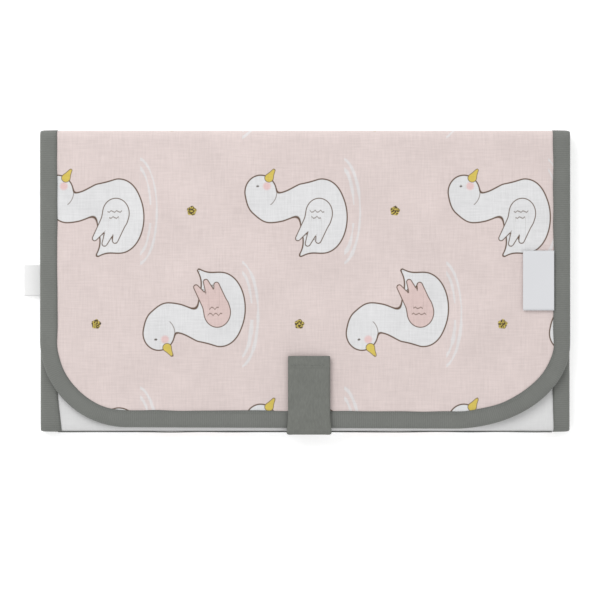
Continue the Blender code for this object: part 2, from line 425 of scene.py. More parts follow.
def bird(f, u):
    """A plain swimming water bird: f points forwards and u upwards, in mm from its middle."""
    body = merged(oval(f, u, (-1, -2), (23.5, 15.5)),
                  capsule(f, u, (-16, 3), (-26, 13), 6.0, 1.0), 7)
    neck = chain(f, u, ((13, 0, 10), (12, 11, 7.4), (7.8, 20, 6.6), (5.2, 27, 6.8),
                        (5, 34, 7.6), (9, 40, 8.2)), 7)
    head = oval(f, u, (15.5, 39.5), (11.2, 10.4))
    shape = merged(merged(body, neck, 6), head, 2.5)
    feathers = np.minimum(capsule(f, u, (-2, 6), (-15, 15), 4.4, 1.6),
                          capsule(f, u, (-4, 2.5), (-18.5, 8.5), 4.2, 1.7))
    feathers = np.minimum(feathers, capsule(f, u, (-4, -2), (-16.5, 1.5), 4.0, 1.8))
    wing = merged(oval(f, u, (1.5, 1), (10, 8.8)), feathers, 1.6)
    lines = []
    for row_f, row_u, half, sign in ((4.2, 2.0, 5.4, 1), (0.2, 2.6, 3.6, -1)):
        scallop = 2.0 * np.abs(np.sin(math.pi * (u - row_u + half) / 3.6)) ** 0.7
        lines.append(part_line(sign * 0.7 * (f - row_f + scallop), np.abs(u - row_u) < half))
    lines.append(part_line(np.hypot(f - 15.5, u - 39.5) - 10.6, (f > 6.5) & (f < 19) & (u < 34)))
    bill = merged(capsule(f, u, (25.0, 34), (30.0, 30.8), 2.5, 0.9), oval(f, u, (24.8, 34), (2.6, 2.8)), 1)
    eye = oval(f, u, (19.5, 41.5), (0.8, 1.1))
    cheek = np.hypot(f - 19.5, u - 35.4) - 2.6
    outer = part_line(oval(f - 3, u, (0, -13), (35, 13)), u < -15)
    inner = part_line(oval(f - 3, u, (0, -13), (29, 9)), (u < -15) & (np.abs(f - 1) > 5))
    return {"p_bird": shape, "p_wing": wing, "p_bill": bill, "p_eye": eye, "p_cheek": cheek,
            "p_ripple": outer, "p_eddy": inner, "p_feather": nearest_line(lines)}


def wrapped(gap, period):
    """A gap taken to the nearest repeat."""
    return (gap + period / 2) % period - period / 2


def print_fields(x, y):
    """The print's distance fields at points given in metres on the cloth."""
    x, y = x / MM, y / MM
    out = {name: np.full(x.shape, FAR) for name in bird(np.zeros(1), np.zeros(1))}
    out["p_pink"] = np.zeros(x.shape)
    nearest = np.full(x.shape, FAR)
    for (mx, my), facing, pink in BIRD_ROWS:
        dx, dy = wrapped(x - mx, PERIOD[0]), wrapped(y - my, PERIOD[1])
        found = bird(dy * facing, -dx)
        closer = found["p_bird"] < nearest
        nearest = np.where(closer, found["p_bird"], nearest)
        out["p_pink"] = np.where(closer, pink, out["p_pink"])
        for name, values in found.items():
            if name in LINE_FIELDS:
                out[name] = nearest_line((out[name], values))
            else:
                out[name] = np.minimum(out[name], values)
    dots = np.full(x.shape, FAR)
    for mx, my in DOT_PLACES:
        dx, dy = wrapped(x - mx, PERIOD[0]), wrapped(y - my, PERIOD[1])
        turn = np.arctan2(dy, dx)
        dots = np.minimum(dots, np.hypot(dx, dy) - 3.1 - 0.35 * np.sin(5 * turn + 0.6))
    out["p_dot"] = dots
    return out


# ---- materials


class Nodes:
    """A short way to write a material's nodes."""

    def __init__(self, name):
        self.material = bpy.data.materials.new(name)
        self.material.use_nodes = True
        self.tree = self.material.node_tree
        self.shader = self.tree.nodes["Principled BSDF"]

    def put(self, socket, value):
        if isinstance(value, bpy.types.NodeSocket):
            self.tree.links.new(value, socket)
        else:
            socket.default_value = value

    def math(self, operation, a, b=0.0, c=0.0, clamp=False):
        node = self.tree.nodes.new("ShaderNodeMath")
        node.operation = operation
        node.use_clamp = clamp
        for socket, value in zip(node.inputs, (a, b, c)):
            self.put(socket, value)
        return node.outputs[0]

    def add(self, a, b):
        return self.math("ADD", a, b)

    def times(self, a, b):
        return self.math("MULTIPLY", a, b)

    def fit(self, value, scale, start):
        """value times scale, plus start."""
        return self.math("MULTIPLY_ADD", value, scale, start)

    def uv(self):
        node = self.tree.nodes.new("ShaderNodeUVMap")
        node.uv_map = "cloth"
        return node.outputs[0]

    def split(self, vector):
        node = self.tree.nodes.new("ShaderNodeSeparateXYZ")
        self.put(node.inputs[0], vector)
        return node.outputs[0], node.outputs[1]

    def stretched(self, vector, scale_x, scale_y):
        node = self.tree.nodes.new("ShaderNodeMapping")
        self.put(node.inputs["Vector"], vector)
        node.inputs["Scale"].default_value = (scale_x, scale_y, 1)
        return node.outputs[0]

    def noise(self, vector, scale=1.0, detail=2.0, rough=0.5):
        node = self.tree.nodes.new("ShaderNodeTexNoise")
        self.put(node.inputs["Vector"], vector)
        node.inputs["Scale"].default_value = scale
        node.inputs["Detail"].default_value = detail
        node.inputs["Roughness"].default_value = rough
        return node.outputs["Fac"]

    def field(self, name):
        node = self.tree.nodes.new("ShaderNodeAttribute")
        node.attribute_name = name
        return node.outputs["Fac"]

    def inside(self, distance, soft=0.30):
        """1 where a distance in mm is below 0, 0 where it is above, with a soft edge."""
        return self.math("MULTIPLY_ADD", distance, -0.5 / soft, 0.5, clamp=True)

    def line(self, distance, width, soft=0.22):
        middle = self.math("ABSOLUTE", distance)
        return self.inside(self.math("SUBTRACT", middle, width / 2), soft)

    def mix(self, factor, a, b):
        node = self.tree.nodes.new("ShaderNodeMix")
        node.data_type = "RGBA"
        self.put(node.inputs["Factor"], factor)
        self.put(node.inputs[6], a)
        self.put(node.inputs[7], b)
        return node.outputs[2]

    def shade(self, colour, amount):
        """The colour made lighter or darker by a factor near 1."""
        node = self.tree.nodes.new("ShaderNodeVectorMath")
        node.operation = "SCALE"
        self.put(node.inputs[0], colour if isinstance(colour, bpy.types.NodeSocket) else colour[:3])
        self.put(node.inputs["Scale"], amount)
        return node.outputs[0]

    def finish(self, colour, tones, roughness, height, strength, distance, specular=None,
               sheen=0.0, sheen_roughness=None):
        """Joins everything to the shader; strength and distance are the bump's."""
        inputs = self.shader.inputs
        self.put(inputs["Base Color"], self.shade(colour, tones))
        self.put(inputs["Roughness"], roughness)
        for socket, value in (("Specular IOR Level", specular), ("Sheen Weight", sheen),
                              ("Sheen Roughness", sheen_roughness)):
            if value is not None:
                inputs[socket].default_value = value
        node = self.tree.nodes.new("ShaderNodeBump")
        node.inputs["Strength"].default_value = strength
        node.inputs["Distance"].default_value = distance
        self.put(node.inputs["Height"], height)
        self.tree.links.new(node.outputs[0], inputs["Normal"])
        return self.material


def colour(red, green, blue):
    """A colour from the 0 to 255 values that a screen shows."""
    def linear(value):
        value /= 255
        return value / 12.92 if value <= 0.04045 else ((value + 0.055) / 1.055) ** 2.4

    return (linear(red), linear(green), linear(blue), 1.0)


PINK = colour(213, 199, 196)
BIRD_WHITE = colour(216, 216, 217)
BROWN = colour(98, 78, 64)
DARK = colour(70, 58, 46)
WING_PINK = colour(212, 190, 186)
BILL = colour(206, 185, 90)
GOLD = colour(197, 178, 88)
BLUSH = colour(222, 184, 182)
TAPE_GREY = colour(115, 117, 113)
STRAP_GREY = colour(112, 114, 109)
# painted shade colour of the dark line along the bottom fold
FOLD_SHADE_GREY = colour(112, 114, 111)
WHITE = colour(214, 214, 214)
LINING = colour(214, 215, 216)
LABEL = colour(213, 214, 217)
CARE = colour(246, 246, 246)
FOAM = colour(218, 212, 192)
PILE = colour(104, 106, 102)


def cloth_height(n, slub, weave):
    """The slubs and the threads of a plain weave, as a height between about 0 and 1."""
    uv = n.uv()
    across = n.noise(n.stretched(uv, 80, 1000), detail=3)
    along = n.noise(n.stretched(uv, 1000, 80), detail=3)
    slubs = n.add(n.times(across, slub), n.times(along, slub))
    u, v = n.split(uv)
    thread = 2 * math.pi / (0.9 * MM)
    crossing = n.times(n.math("SINE", n.times(u, thread)),
                      n.math("SINE", n.times(v, thread)))
    return slubs, n.fit(crossing, weave, slubs)


def woven(name, base, roughness=0.85, slub=0.5, weave=0.12, tone=0.25, strength=0.35):
    """Plain-woven cloth in one colour."""
    n = Nodes(name)
    slubs, height = cloth_height(n, slub, weave)
    patches = n.noise(n.uv(), scale=22, detail=2)
    tones = n.fit(slubs, tone, 1 - tone * slub)
    tones = n.times(tones, n.fit(patches, 0.05, 0.975))
    return n.finish(base, tones, n.fit(slubs, 0.1, roughness - 0.05), height, strength, 0.15 * MM,
                    specular=0.25, sheen=0.15, sheen_roughness=0.5)


def printed():
    """The pink cloth with its print of water birds, ripples and gold dots."""
    n = Nodes("printed_cloth")
    bird_edge, wing = n.field("p_bird"), n.field("p_wing")
    in_wing = n.inside(wing)
    brush = n.noise(n.uv(), scale=75, detail=3)
    shown = PINK
    for field, widest, narrower in (("p_ripple", 5.0, 0.9), ("p_eddy", 7.0, 1.8)):
        stroke = n.fit(brush, widest, -narrower)
        stroke = n.math("SUBTRACT", n.math("ABSOLUTE", n.field(field)), n.times(stroke, 0.5))
        shown = n.mix(n.times(n.inside(stroke, 0.35), 0.72), shown, BIRD_WHITE)
    # partly print, partly painted light: the gold of the dots is print, and their speckle of dark brown
    # and bright gold flecks is painted glints of the glitter
    glitter_glints = n.noise(n.uv(), scale=900, detail=1)
    glitter_glints = n.math("MULTIPLY_ADD", glitter_glints, 6.0, -2.6, clamp=True)
    shown = n.mix(n.inside(n.field("p_dot")), shown, n.mix(glitter_glints, DARK, GOLD))
    shown = n.mix(n.inside(bird_edge), shown, BIRD_WHITE)
    shown = n.mix(n.times(n.inside(n.field("p_cheek"), 0.7), 0.8), shown, BLUSH)
    outline = n.times(n.line(bird_edge, 0.85), n.math("SUBTRACT", 1.0, in_wing))
    shown = n.mix(outline, shown, BROWN)
    wing_fill = n.mix(n.field("p_pink"), BIRD_WHITE, WING_PINK)
    shown = n.mix(in_wing, shown, wing_fill)
    shown = n.mix(n.line(wing, 0.6), shown, BROWN)
    shown = n.mix(n.times(n.line(n.field("p_feather"), 0.5), 0.8), shown, BROWN)
    bill = n.field("p_bill")
    shown = n.mix(n.inside(bill), shown, BILL)
    shown = n.mix(n.line(bill, 0.4), shown, BROWN)
    shown = n.mix(n.inside(n.field("p_eye")), shown, DARK)
    slubs, height = cloth_height(n, 0.5, 0.12)
    patches = n.noise(n.uv(), scale=28, detail=3)
    tones = n.fit(slubs, 0.42, 0.79)
    tones = n.times(tones, n.fit(patches, 0.20, 0.90))
    return n.finish(shown, tones, n.fit(slubs, 0.1, 0.78), height, 0.35, 0.15 * MM,
                    specular=0.25, sheen=0.15, sheen_roughness=0.5)


def ribbed(name, base, width):
    """Grosgrain tape: u runs along it and v across, and its edges carry painted shade where they meet the
    cloth.
    """
    n = Nodes(name)
    uv = n.uv()
    u, v = n.split(uv)
    wobble = n.times(n.noise(n.stretched(uv, 90, 300)), 0.5 * MM)
    ribs = n.math("SINE", n.times(n.add(u, wobble), 2 * math.pi / RIB_PITCH))
    fibres = n.noise(n.stretched(uv, 2600, 420), detail=3)
    patches = n.noise(uv, scale=60, detail=2)
    # painted shade: a dark band along the tape's inner edges, standing for the shade where the tape meets
    # the cloth
    edge = n.math("DIVIDE", n.math("ABSOLUTE", n.math("SUBTRACT", v, width / 2)), width / 2)
    edge = n.math("POWER", n.math("MINIMUM", edge, 1.0), 14.0)
    tones = n.fit(ribs, 0.07, 0.73)
    tones = n.add(tones, n.times(fibres, 0.34))
    tones = n.add(tones, n.times(patches, 0.18))
    tones = n.math("SUBTRACT", tones, n.times(edge, 0.22))
    return n.finish(base, tones, n.fit(fibres, 0.15, 0.72),
                    n.fit(fibres, 0.6, n.times(ribs, 0.25)), 0.3, 0.1 * MM,
                    specular=0.3, sheen=0.1)


def webbing(name, base):
    """Smooth strap webbing with a fine diagonal twill."""
    n = Nodes(name)
    uv = n.uv()
    u, v = n.split(uv)
    slant = n.times(n.add(u, n.times(v, 0.6)), 2 * math.pi / MM)
    twill = n.math("SINE", slant)
    fibres = n.noise(n.stretched(uv, 300, 900), detail=3)
    patches = n.noise(uv, scale=90, detail=3)
    tones = n.fit(twill, 0.03, 0.66)
    tones = n.add(tones, n.times(fibres, 0.42))
    tones = n.add(tones, n.times(patches, 0.24))
    return n.finish(base, tones, n.fit(fibres, 0.15, 0.68), n.fit(twill, 0.2, fibres),
                    0.25, 0.08 * MM, specular=0.3)


def fuzzy(name, base, scale, roughness=0.95):
    """The pile of hook and loop, foam, or thread."""
    n = Nodes(name)
    grain = n.noise(n.uv(), scale=scale, detail=4, rough=0.7)
    return n.finish(base, n.fit(grain, 0.6, 0.7), n.fit(grain, 0.1, roughness - 0.08),
                    grain, 0.6, 0.3 * MM, sheen=0.3)


# ---- sheets


def cover(name, profile, height, material, keep=None, with_print=False):
    """A cover or lining: a profile in Y and Z carried across in X, raised by height(x, y)."""
    points, normal, along = profile
    middle = int(np.argmin(np.abs(points[:, 0]) + np.abs(normal[:, 0]) * 10))
    run = along - along[middle] + points[middle, 0]
    x_edge = HALF - UNDER_TAPE
    columns = int(round(2 * x_edge / SHEET_PITCH)) + 1
    gx, gy = np.meshgrid(np.linspace(-x_edge, x_edge, columns), points[:, 0])
    rise = height(gx, gy) * np.abs(normal[:, 1:]) ** 4
    place = np.stack([gx, gy + rise * normal[:, :1], points[:, 1:] + rise * normal[:, 1:]], -1)
    place = place.reshape(-1, 3)
    uv = np.stack([gx, np.broadcast_to(run[:, None], gx.shape)], -1).reshape(-1, 2)
    faces = grid_faces(len(points), columns)
    if keep is not None:
        faces = faces[keep(gx, gy).ravel()[faces].all(1)]
        used, faces = np.unique(faces, return_inverse=True)
        place, uv, faces = place[used], uv[used], faces.reshape(-1, 4)
    a, b, c = place[faces[len(faces) // 2, :3]]
    if np.cross(b - a, c - a)[2] * normal[middle, 1] < 0:
        faces = faces[:, ::-1]
    obj = new_object(name, place, faces, uv, print_fields(uv[:, 0], uv[:, 1]) if with_print else None)
    thicken(obj, CLOTH)
    obj.data.materials.clear()
    return dress(obj, material)


def crown(field, amount):
    """The height of a puffed cover: low at its edge and raised by the simulated field."""
    return lambda x, y: sampled(*field, x, y) * amount - EDGE_DROP


def level(x, y):
    """The height of a cover or lining that isn't puffed."""
    return x * 0


# ---- binding tape


def tape_section(height):
    """A folded tape's section: points (distance in from the edge, depth below the outer face),
    the distance across it, how far its ribs stand out and in which direction."""
    depth = height / 2
    upper = [(TAPE * t, 0.12 * MM + 0.55 * MM * (1 - t) ** 2) for t in np.linspace(1, 0.34, 6)]
    start_d, start_h = upper[-1]
    rounded = [(start_d * (1 - math.sin(t) ** 0.8), depth - (depth - start_h) * math.cos(t))
               for t in np.linspace(0, math.pi, 11)[1:-1]]
    lower = [(d, height - h) for d, h in upper[::-1]]
    outer = np.array(upper + rounded + lower)
    normal = normals(outer)
    if normal[len(outer) // 2, 0] < 0:
        normal = -normal
    loop = np.concatenate([outer, (outer + normal * CLOTH)[::-1]])
    across = lengths(outer)
    # ribs rise on the outer face only and fade out at the tape's cut edges
    rib = np.r_[np.sin(np.linspace(0, math.pi, len(outer))) ** 0.3, np.zeros(len(outer))]
    ribs_out = np.concatenate([-normal, np.zeros_like(normal)])
    return loop, np.r_[across, across[::-1]], rib[:, None] * ribs_out


def taped(name, path, inward, up, height, squeeze, seed, widen=0.0):
    """Binding tape carried along a path on the panel's outer face.

    inward and up are unit vectors at each point, squeeze thins the section there and
    widen is how much wider than TAPE its visible face is there.
    """
    section, across, ribs = tape_section(height)
    along = lengths(path)
    wave = np.cos(2 * math.pi * along / RIB_PITCH) * RIB_DEPTH / 2
    wander = waves(along, 0 * along, seed, 90 * MM, 9 * MM) * 0.32 * MM
    lift = waves(along, 0 * along, seed + 1, 70 * MM, 18 * MM) * 0.10 * MM
    d, h = (section[None] + wave[:, None, None] * ribs[None]).transpose(2, 0, 1)
    d = d + (wander + widen)[:, None] * (section[:, 0] / TAPE)[None] ** 2
    h = h * squeeze[:, None] - lift[:, None] * (1 - h / height)
    rings = path[:, None] + inward[:, None] * d[..., None] - up[:, None] * h[..., None]
    uv = np.stack(np.broadcast_arrays(along[:, None], across[None]), -1)
    return swept(name, rings, uv, M_TAPE)


def stitches(name, places, directions, ups):
    """Short rounded threads that lie along directions at places."""
    length, radius = STITCH
    ring, stations = 6, np.linspace(-1, 1, 7)
    points, faces, uvs = [], [], []
    for place, direction, up in zip(places, directions, ups):
        side = np.cross(up, direction)
        base = len(points)
        for t in stations:
            size = radius * math.sqrt(max(1 - t**4, 0.04))
            sink = up * (radius * (0.5 - 1.3 * t * t))
            middle = place + direction * (t * length / 2) + sink
            for k in range(ring):
                turn = 2 * math.pi * k / ring
                points.append(middle + side * (size * math.cos(turn)) + up * (size * math.sin(turn)))
                uvs.append((t * length, k * radius))
        rows = grid_faces(len(stations), ring, closed=True) + base
        faces += rows.tolist()
        faces.append([base + k for k in range(ring)][::-1])
        faces.append([base + (len(stations) - 1) * ring + k for k in range(ring)])
    obj = new_object(name, points, faces, uvs)
    close_ends(obj)
    return dress(obj, M_THREAD)


def side_path(side, profile):
    """A straight side's tape path, with inward and up vectors, from a profile in Y and Z."""
    points, normal, _ = profile
    path = np.insert(points, 0, side * HALF, axis=1)
    return path, every(path, -side, 0, 0), np.insert(normal, 0, 0, axis=1)


def folded_thin(up):
    """How much the tape thins where it goes round a fold: 1 on the flat."""
    return FOLD_SQUEEZE + (1 - FOLD_SQUEEZE) * np.abs(up[:, 2]) ** 3


# ---- fillings, linings and small pieces


def filling(name, low_edge, y_low, y_high, z_low, z_high, node):
    """A sheet of foam with rounded edges inside its panel; low_edge(x) is its lower outline."""
    pitch, x_edge = 5 * MM, HALF - 3 * MM
    x = np.linspace(-x_edge, x_edge, int(2 * x_edge / pitch) + 1)
    y = np.linspace(y_low, y_high, int((y_high - y_low) / pitch) + 1)
    gx, gy = np.meshgrid(x, y)
    share = np.clip((gy - y_low) / (y_high - y_low), 0, 1)
    low = np.maximum(low_edge(gx), y_low)
    edge = np.minimum(np.minimum(gx + x_edge, x_edge - gx), (y_high - y_low) * share + 1e-4)
    edge = np.minimum(edge, (y_high - y_low) * (1 - share) + 1e-4)
    rounding = np.sqrt(1 - (1 - np.clip(edge / (9 * MM), 0, 1)) ** 2)
    half = (z_high - z_low) / 2 * (0.25 + 0.75 * rounding)
    middle = (z_low + z_high) / 2
    obj = slab(name, gx, low + (y_high - low) * share, middle + half, middle - half, M_FOAM)
    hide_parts(node)
    return obj


def pad_patch(name, node, bump_pitch, up=1):
    """A sewn hook or loop patch with a soft edge and an uneven pile."""
    low, high = (np.array(v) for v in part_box(node))
    pitch = 0.5 * MM
    x = np.linspace(low[0], high[0], int((high[0] - low[0]) / pitch))
    y = np.linspace(low[1], high[1], int((high[1] - low[1]) / pitch))
    gx, gy = np.meshgrid(x, y)
    edge = np.minimum(np.minimum(gx - low[0], high[0] - gx), np.minimum(gy - low[1], high[1] - gy))
    soft = np.sqrt(1 - (1 - np.clip(edge / (0.8 * MM), 0, 1)) ** 2)
    bumps = np.sin(gx * 2 * math.pi / bump_pitch) * np.sin(gy * 2 * math.pi / bump_pitch)
    rise = (high[2] - low[2]) * (0.45 + 0.45 * soft) + bumps * 0.06 * MM * soft
    base = low[2] if up > 0 else high[2]
    obj = slab(name, gx, gy, base + up * rise, np.full(gx.shape, base), M_PILE)
    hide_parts(node)
    return obj


def band(name, path, across, up, half_width, section, material, flare=0.0):
    """A strip carried along a path; section gives (share of the width, height) round its edge."""
    shares, heights = np.array(section).T
    width = np.zeros(len(path)) + half_width + flare
    rings = (path[:, None] + across[:, None] * (width[:, None] * shares[None])[..., None]
             + up[:, None] * heights[None, :, None])
    uv = np.stack(np.broadcast_arrays(lengths(path)[:, None], (shares * half_width)[None]), -1)
    return swept(name, rings, uv, material)


def band_section(half_width, thick, selvedge):
    """A flat strip's section with rounded edges and slightly raised selvedges."""
    upper = []
    for share in np.linspace(-1, 1, 25):
        inside = half_width * (1 - abs(share))
        edge = math.sqrt(max(0.0, 1 - (1 - min(inside / (0.8 * MM), 1)) ** 2))
        ridge = selvedge * math.exp(-((inside - 1.6 * MM) / (0.8 * MM)) ** 2)
        upper.append((share, thick / 2 * (0.35 + 0.65 * edge) + ridge))
    lower = [(share, -height + selvedge * 0.5) for share, height in upper[::-1]]
    return upper + lower


# ---- the pieces

M_PRINT = printed()
M_WHITE = woven("white_cloth", WHITE, slub=0.5, tone=0.2)
M_LINING = woven("lining_cloth", LINING, roughness=0.5, slub=0.2, tone=0.04, strength=0.15)
M_TAPE = ribbed("binding_tape", TAPE_GREY, 2 * TAPE + 5 * MM)
M_STRAP = webbing("strap_webbing", STRAP_GREY)
# painted shade: the dark grey tape material of the strip that stands for the shade along the bottom fold
M_FOLD_SHADE = ribbed("seam_tape", FOLD_SHADE_GREY, 6 * MM)
M_LABEL = woven("label_satin", LABEL, roughness=0.45, slub=0.15, weave=0.05, tone=0.03, strength=0.12)
M_CARE = woven("care_label_cloth", CARE, roughness=0.6, slub=0.15, weave=0.05, tone=0.03, strength=0.1)
M_FOAM = fuzzy("foam", FOAM, 900)
M_PILE = fuzzy("pile", PILE, 1600)
M_THREAD = fuzzy("grey_thread", colour(112, 115, 110), 3000, 0.8)

EDGE = flap_edge()


def panel_field(name, low_y, inside, seed):
    """Simulated puff of a cover, on a coarse grid, pinned wherever inside is false."""
    x = np.linspace(-HALF, HALF, PUFF_GRID[0])
    y = np.linspace(low_y, FOLD_Y, PUFF_GRID[1])
    gx, gy = np.meshgrid(x, y)
    return puffed(name, x, y, ~inside(gx, gy), seed), x, y


def in_flap(x, y, inset):
    return ((np.abs(x) <= HALF - inset) & (y > flap_low_y(x) + inset * 0.3)
            & ((edge_distance(x, y, EDGE[::8]) >= inset) | (y > NOSE_Y - inset)))


def make_flap():
    """The printed flap: cover, lining, filling and binding, on the top fold."""
    field = panel_field(
        "flap_puff", -100 * MM,
        lambda x, y: in_flap(x, y, TAPE + 1 * MM) & (y < NOSE_Y + 2 * MM), 11)
    profile = outer_profile(FLAP_HIGH - 0.25 * MM, 1, LOW_RIGHT + UNDER_TAPE, top_middle=TOP_MIDDLE)
    obj = cover("flap_print", profile, crown(field, 1.2 * MM), M_PRINT,
                lambda x, y: in_flap(x, y, UNDER_TAPE), with_print=True)
    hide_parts("flap_cover", "top_spine")
    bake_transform(obj)

    lining = inner_profile(FLAP_HIGH, TOP_MIDDLE, FLAP_HIGH - FLAP_LOW, LOW_RIGHT + UNDER_TAPE)
    obj = cover("flap_lining", lining, level, M_LINING,
                lambda x, y: in_flap(x, y, UNDER_TAPE))
    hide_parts("flap_liner")
    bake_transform(obj)

    obj = filling("flap_filling", lambda x: flap_low_y(x) + 3 * MM, LOW_RIGHT + 3 * MM, NOSE_Y,
                  FLAP_LOW + 1.1 * MM, FLAP_HIGH - 1.2 * MM, "flap_foam")
    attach(obj, "flap")

    fold = with_normals(even(nose(FLAP_HIGH, TOP_MIDDLE, 1), RING), (0, 1))
    left, right = side_path(-1, fold), side_path(1, fold)
    flat = np.concatenate([EDGE, np.full((len(EDGE), 1), FLAP_HIGH)], 1)
    inward = np.concatenate([normals(EDGE), np.zeros((len(EDGE), 1))], 1)
    parts = zip(left, (flat, inward, every(flat, 0, 0, 1)), right)
    path, inward, ups = (np.concatenate([a[:0:-1], b, c[1:]]) for a, b, c in parts)
    obj = taped("flap_binding", path, inward, ups, FLAP_HIGH - FLAP_LOW, folded_thin(ups), 21)
    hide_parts("flap_tape")
    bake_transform(obj)
    obj = sew_edge("flap_stitching", path, inward, ups)
    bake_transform(obj)


def sew_edge(name, path, inward, ups):
    """A row of stitches just inside the tape's inner edge."""
    step = int(round(2.9 * MM / RING))
    line = path + inward * (TAPE - 1.5 * MM)
    tangent = unit(np.gradient(line, axis=0))
    chosen = slice(step // 2, None, step)
    places = line[chosen] - ups[chosen] * 0.13 * MM
    return stitches(name, places, tangent[chosen], ups[chosen])


def side_tapes(panel, run, height, seed, place, left_end=0.0, right_end=0.0):
    """The binding of a panel's two sides, with its stitches, widened at its low end."""
    for side, word, wide in ((-1, "left", left_end), (1, "right", right_end)):
        path, inward, up = side_path(side, run)
        low_end = np.clip((-74 * MM - path[:, 1]) / (26 * MM), 0, 1)
        obj = taped(f"{panel}_binding_{word}", path, inward, up, height, folded_thin(up),
                    seed + side, low_end * wide)
        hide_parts(f"{panel}_tape_{word}")
        place(obj)
        place(sew_edge(f"{panel}_stitching_{word}", path, inward, up))


def under_side_tapes(x, y):
    """The height of a flat cover that sinks a little where its sides go under the tape."""
    under = np.clip((np.abs(x) - HALF + TAPE + 6 * MM) / (7 * MM), 0, 1)
    return -0.55 * MM * under * under * (3 - 2 * under)


def make_back():
    """The back panel, which the pad lies on, up to the middles of both folds."""
    profile = outer_profile(BACK_LOW + 0.25 * MM, -1, -NOSE_Y, TOP_MIDDLE, BOTTOM_MIDDLE)
    obj = cover("back_print", profile, under_side_tapes, M_PRINT, with_print=True)
    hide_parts("back_cover")
    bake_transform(obj)

    lining = inner_profile(BACK_LOW, TOP_MIDDLE, BACK_HIGH - BACK_LOW, -NOSE_Y)
    obj = cover("back_lining", lining, level, M_LINING)
    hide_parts("back_liner")
    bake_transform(obj)

    obj = filling("back_filling", lambda x: x * 0 - NOSE_Y, -NOSE_Y, NOSE_Y,
                  BACK_LOW + 0.9 * MM, BACK_HIGH - 0.9 * MM, "back_foam")
    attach(obj, "base")

    run = outer_profile(BACK_LOW, -1, -NOSE_Y, TOP_MIDDLE, BOTTOM_MIDDLE, pitch=RING, inset=0)
    side_tapes("back", run, BACK_HIGH - BACK_LOW, 31,
               lambda obj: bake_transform(obj))


def make_front():
    """The white front third, folded over the back panel and under the flap."""
    field = panel_field(
        "front_puff", -FOLD_Y,
        lambda x, y: (np.abs(x) < HALF - TAPE - 1 * MM) & (y > -NOSE_Y) & (y < FRONT_TOP_Y - TAPE), 17)
    profile = outer_profile(FRONT_HIGH - 0.25 * MM, 1, -NOSE_Y, None, BOTTOM_MIDDLE)
    obj = cover("front_face", profile, crown(field, 0.45 * MM), M_WHITE)
    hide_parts("front_cover", "bottom_spine")
    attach(obj, "base")

    run = [(y, FRONT_LOW + UNDER_FACE) for y in np.linspace(-NOSE_Y, FRONT_TOP_Y - UNDER_TAPE, 60)]
    lining = with_normals(even(np.array(run), SHEET_PITCH), (0, -1))
    obj = cover("front_lining", lining, level, M_LINING)
    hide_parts("front_liner")
    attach(obj, "base")

    obj = filling("front_filling", lambda x: x * 0 - NOSE_Y, -NOSE_Y, FRONT_TOP_Y - 3 * MM,
                  FRONT_LOW + 0.9 * MM, FRONT_HIGH - 0.9 * MM, "front_foam")
    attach(obj, "base")

    points = outer_profile(FRONT_HIGH, 1, -NOSE_Y, None, BOTTOM_MIDDLE, pitch=RING, inset=0)[0]
    extra = np.arange(points[-1, 0] + RING, FRONT_TOP_Y, RING)
    points = np.concatenate([points, np.stack([extra, np.full(len(extra), FRONT_HIGH)], -1)])
    run = with_normals(points, (0, 0))
    if run[1][len(points) // 2, 1] < 0:
        run = (run[0], -run[1], run[2])
    side_tapes("front", run, FRONT_HIGH - FRONT_LOW, 41, lambda obj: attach(obj, "base"),
               left_end=2.4 * MM, right_end=-0.6 * MM)
    inner = HALF - TAPE
    x = np.arange(-inner, inner, RING)
    path = np.stack([x, np.full(len(x), FRONT_TOP_Y), np.full(len(x), FRONT_HIGH)], -1)
    inward, up = every(path, 0, -1, 0), every(path, 0, 0, 1)
    obj = taped("front_binding_top", path, inward, up, FRONT_HIGH - FRONT_LOW, np.ones(len(x)), 47)
    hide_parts("front_tape_top")
    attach(obj, "base")
    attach(sew_edge("front_stitching_top", path, inward, up), "base")


def make_fold_shade():
    """Painted shade: a thin dark grey strip along the bottom fold, standing for the shade in the fold."""
    low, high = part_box("bottom_seam_tape")
    x = np.arange(-HALF + TAPE, HALF - TAPE, RING)
    middle = (low[2] + high[2]) / 2
    path = np.stack([x, np.full(len(x), -FOLD_Y), np.full(len(x), middle)], -1)
    path[:, 1] += waves(x, 0 * x, 5, 60 * MM, 20 * MM) * 0.12 * MM
    half = (high[2] - low[2]) / 2
    obj = band("fold_shade_line", path, every(path, 0, 0, 1), every(path, 0, -1, 0), half,
               band_section(half, 0.7 * MM, 0.0), M_FOLD_SHADE)
    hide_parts("bottom_seam_tape")
    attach(obj, "base")


